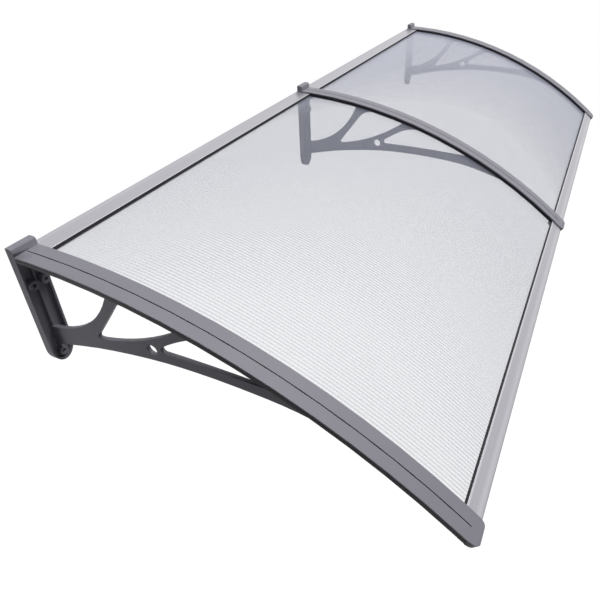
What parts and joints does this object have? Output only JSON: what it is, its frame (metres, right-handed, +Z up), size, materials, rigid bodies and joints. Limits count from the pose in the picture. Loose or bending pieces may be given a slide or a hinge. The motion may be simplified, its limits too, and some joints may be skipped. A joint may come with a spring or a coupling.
{
  "type": "door canopy",
  "caption": "Wall-mounted door canopy with grey moulded brackets, bowed translucent twin-wall sheets, light aluminium rails and black rubber seals",
  "frame": {"origin": "on the back face of the middle bracket's wall plate, half way up the plate, in the plane of the wall", "axes": "+X runs along the wall to the right bracket, +Y points into the wall, so the canopy reaches out towards -Y, and +Z is up"},
  "size_m": [2.048, 0.7717, 0.3152],
  "materials": {
    "plastic": "fine moulded grain, satin grey",
    "sheet": "translucent milky twin-wall sheet with fine flutes from wall to front",
    "rail": "light satin silver",
    "seal": "black matt rubber strip",
    "screw": "plated steel"
  },
  "bodies": {
    "root": {"bracket_left": "plastic", "bracket_middle": "plastic", "bracket_right": "plastic", "sheet_left": "sheet", "rear_rail_left": "rail", "front_rail_left": "rail", "rear_seal_left": "seal", "front_seal_left": "seal", "rear_screw_left_outer": "screw", "rear_screw_left_inner": "screw", "front_screw_left_outer": "screw", "front_screw_left_inner": "screw", "sheet_right": "sheet", "rear_rail_right": "rail", "front_rail_right": "rail", "rear_seal_right": "seal", "front_seal_right": "seal", "rear_screw_right_outer": "screw", "rear_screw_right_inner": "screw", "front_screw_right_outer": "screw", "front_screw_right_inner": "screw"}
  },
  "joints": []
}
